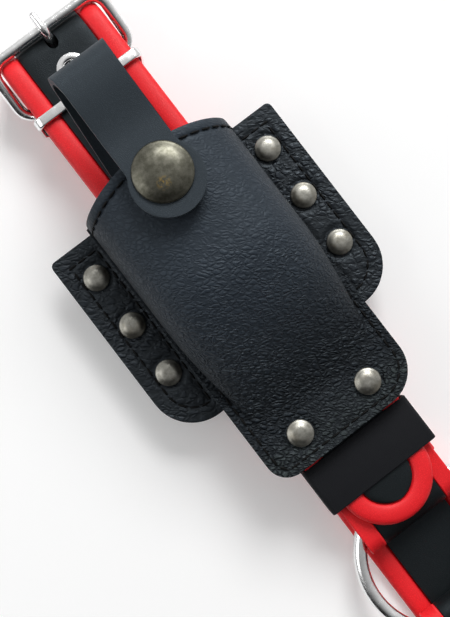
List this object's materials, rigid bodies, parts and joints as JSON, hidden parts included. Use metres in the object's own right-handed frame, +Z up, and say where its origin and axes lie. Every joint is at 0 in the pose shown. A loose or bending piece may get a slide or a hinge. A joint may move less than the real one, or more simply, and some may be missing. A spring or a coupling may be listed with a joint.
{
  "type": "leather arm band with snap pouch",
  "caption": "Buckled leather arm band with red piped edges, an O-ring and a slide-on riveted pouch with a snap closure strap, closed and lying flat",
  "frame": {"origin": "On the underside of the band, under the middle pair of wing rivets", "axes": "X across the band, +Y along the band towards the buckle, +Z up from the face that the band lies on"},
  "size_m": [0.072, 0.2166, 0.0467],
  "materials": {
    "pebbled_leather": "pebbled, semi-matt",
    "smooth_leather": "smooth, matt",
    "strap_leather": "smooth, satin",
    "red_leather": "smooth, satin",
    "antique_nickel": "antique, brushed",
    "bright_nickel": "polished",
    "woven_tape": "satin weave"
  },
  "bodies": {
    "band": {"buckle_strap_leather": "strap_leather", "buckle_strap_lining": "strap_leather", "buckle_strap_tape": "woven_tape", "buckle_strap_piping": "red_leather", "chape": "strap_leather", "chape_rivets": "bright_nickel", "ring_fold": "strap_leather", "ring_fold_piping": "red_leather", "ring_fold_rivet": "bright_nickel", "tail_strap_leather": "strap_leather", "tail_strap_lining": "strap_leather", "tail_strap_tape": "woven_tape", "tail_strap_piping": "red_leather", "tail_eyelets": "bright_nickel", "tail_ring_fold": "strap_leather", "tail_ring_fold_piping": "red_leather", "tail_fold_rivet": "bright_nickel", "buckle_frame": "bright_nickel"},
    "pouch": {"pouch_front": "pebbled_leather", "pouch_back": "pebbled_leather", "saddle_panel": "pebbled_leather", "tunnel_back": "pebbled_leather", "wing_rivet_caps": "antique_nickel", "wing_rivet_posts": "antique_nickel", "bottom_rivet_caps": "antique_nickel", "bottom_rivet_posts": "antique_nickel", "closure_root": "smooth_leather", "closure_rivets": "antique_nickel", "snap_stud": "bright_nickel"},
    "flap": {"closure_flap": "smooth_leather", "snap_cap": "antique_nickel", "snap_socket": "bright_nickel"},
    "prong": {"buckle_prong": "bright_nickel"},
    "ring": {"o_ring": "bright_nickel"},
    "metal_keeper": {"metal_keeper": "bright_nickel"},
    "woven_keeper": {"woven_keeper": "woven_tape"}
  },
  "joints": [
    {"name": "pouch_slide", "type": "slide", "parent": "band", "child": "pouch", "axis": [0, 1, 0], "range_m": [-0.01, 0.008]},
    {"name": "flap_open", "type": "hinge", "parent": "pouch", "child": "flap", "pos_m": [0, 0.05097, 0.04669], "axis": [-1, 0, 0], "range_deg": [0, 150]},
    {"name": "prong_lift", "type": "hinge", "parent": "band", "child": "prong", "pos_m": [0, 0.06, 0.0086], "axis": [1, 0, 0], "range_deg": [0, 5]},
    {"name": "ring_spin", "type": "hinge", "parent": "band", "child": "ring", "pos_m": [0, -0.096, 0.0086], "axis": [0, 0, 1], "continuous": true},
    {"name": "metal_keeper_slide", "type": "slide", "parent": "band", "child": "metal_keeper", "axis": [0, 1, 0], "range_m": [-0.008, 0]},
    {"name": "woven_keeper_slide", "type": "slide", "parent": "band", "child": "woven_keeper", "axis": [0, 1, 0], "range_m": [0, 0.006]}
  ]
}
